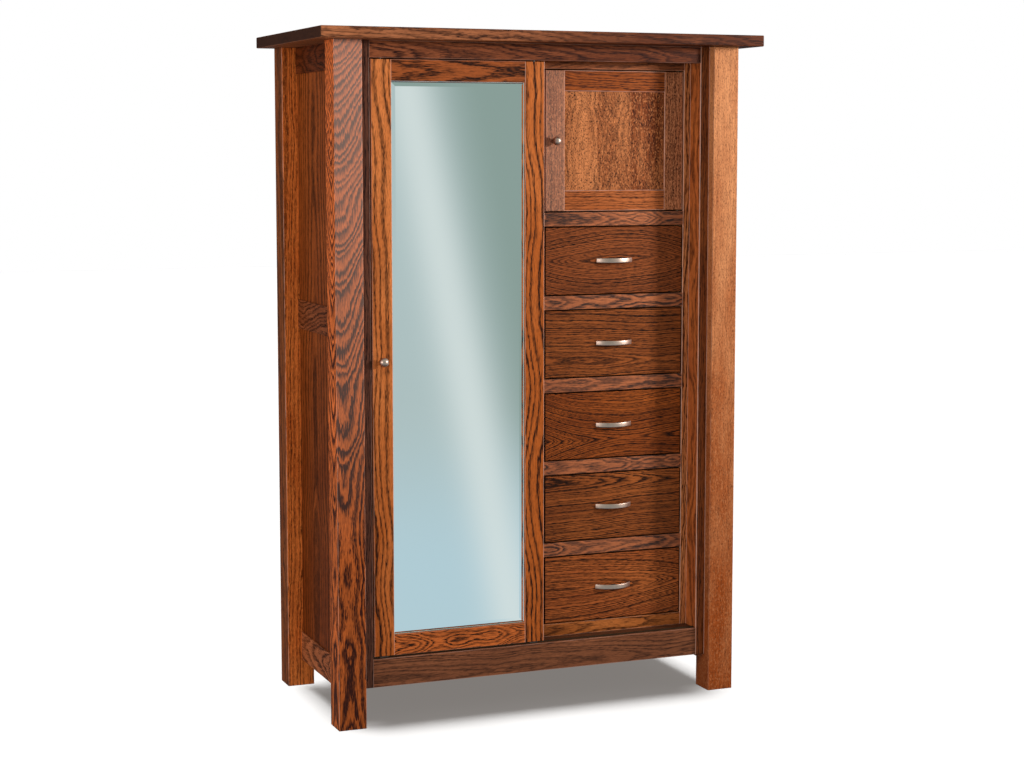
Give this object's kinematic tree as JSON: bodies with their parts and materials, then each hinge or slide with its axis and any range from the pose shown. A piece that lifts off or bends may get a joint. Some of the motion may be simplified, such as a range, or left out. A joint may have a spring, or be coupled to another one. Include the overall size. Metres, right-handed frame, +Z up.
{
  "type": "chifforobe",
  "caption": "Tall wooden chifforobe: sliding mirror door over a hanging wardrobe, with a small cupboard above a column of drawers beside it.",
  "frame": {"origin": "on the floor, under the middle of the top slab", "axes": "+X to the right seen from the front, +Y to the back, +Z up; the doors and drawers face -Y"},
  "size_m": [1.259, 0.623, 1.8288],
  "materials": {
    "stained_oak": "satin lacquer over a reddish-brown stain",
    "oak_mirror_door": "satin lacquer over a warm stain",
    "oak_drawer_front": "satin lacquer over a dark stain",
    "inside_wood": "clear sealed",
    "plywood": "matt",
    "brushed_nickel": "brushed",
    "mirror": "polished, bevelled",
    "brass": "drawn",
    "bronze": "oil rubbed, dark",
    "nylon": "moulded, brown"
  },
  "bodies": {
    "case": {"top_slab": "stained_oak", "left_side_rails": "stained_oak", "left_side_panels": "stained_oak", "right_side_rails": "stained_oak", "right_side_panels": "stained_oak", "back_rails": "inside_wood", "back_panel": "plywood", "header_rail": "stained_oak", "apron_rail": "stained_oak", "pocket_stile_left": "stained_oak", "pocket_stile_right": "stained_oak", "post_front_left": "stained_oak", "post_rear_left": "stained_oak", "post_front_right": "stained_oak", "post_rear_right": "stained_oak", "face_head_rails": "stained_oak", "face_base_rails": "stained_oak", "divider_rails": "stained_oak", "face_stile_left": "stained_oak", "face_stile_centre": "stained_oak", "face_stile_right": "stained_oak", "case_bottom": "inside_wood", "centre_partition": "inside_wood", "drawer_bay_side": "inside_wood", "cupboard_floor": "inside_wood", "wardrobe_shelf": "inside_wood", "shelf_cleats": "inside_wood", "clothes_rod": "brushed_nickel", "small_door_catch": "nylon", "drawer_runners": "inside_wood", "drawer_stops": "inside_wood", "bottom_track": "bronze", "case_pivot_pins": "bronze"},
    "mirror_door": {"mirror_door_stiles": "oak_mirror_door", "mirror_door_rails": "oak_mirror_door", "mirror_glass": "mirror", "mirror_backing": "plywood", "mirror_door_knob": "brushed_nickel", "mirror_door_glides": "nylon"},
    "small_door": {"small_door_stiles": "stained_oak", "small_door_rails": "stained_oak", "small_door_panel": "stained_oak", "small_door_knob": "brushed_nickel", "small_door_pivot_bushes": "brass", "small_door_strike": "brushed_nickel"},
    "drawer_1": {"drawer_1_front": "oak_drawer_front", "drawer_1_box": "inside_wood", "drawer_1_pull": "brushed_nickel"},
    "drawer_2": {"drawer_2_front": "oak_drawer_front", "drawer_2_box": "inside_wood", "drawer_2_pull": "brushed_nickel"},
    "drawer_3": {"drawer_3_front": "oak_drawer_front", "drawer_3_box": "inside_wood", "drawer_3_pull": "brushed_nickel"},
    "drawer_4": {"drawer_4_front": "oak_drawer_front", "drawer_4_box": "inside_wood", "drawer_4_pull": "brushed_nickel"},
    "drawer_5": {"drawer_5_front": "oak_drawer_front", "drawer_5_box": "inside_wood", "drawer_5_pull": "brushed_nickel"}
  },
  "joints": [
    {"name": "mirror_door_slide", "type": "slide", "parent": "case", "child": "mirror_door", "axis": [-1, 0, 0], "range_m": [-0.4613, 0]},
    {"name": "small_door_swing", "type": "hinge", "parent": "case", "child": "small_door", "pos_m": [0.4438, -0.1635, 1.5423], "axis": [0, 0, 1], "range_deg": [0, 100]},
    {"name": "drawer_1_slide", "type": "slide", "parent": "case", "child": "drawer_1", "axis": [0, -1, 0], "range_m": [0, 0.33]},
    {"name": "drawer_2_slide", "type": "slide", "parent": "case", "child": "drawer_2", "axis": [0, -1, 0], "range_m": [0, 0.33]},
    {"name": "drawer_3_slide", "type": "slide", "parent": "case", "child": "drawer_3", "axis": [0, -1, 0], "range_m": [0, 0.33]},
    {"name": "drawer_4_slide", "type": "slide", "parent": "case", "child": "drawer_4", "axis": [0, -1, 0], "range_m": [0, 0.33]},
    {"name": "drawer_5_slide", "type": "slide", "parent": "case", "child": "drawer_5", "axis": [0, -1, 0], "range_m": [0, 0.33]}
  ]
}
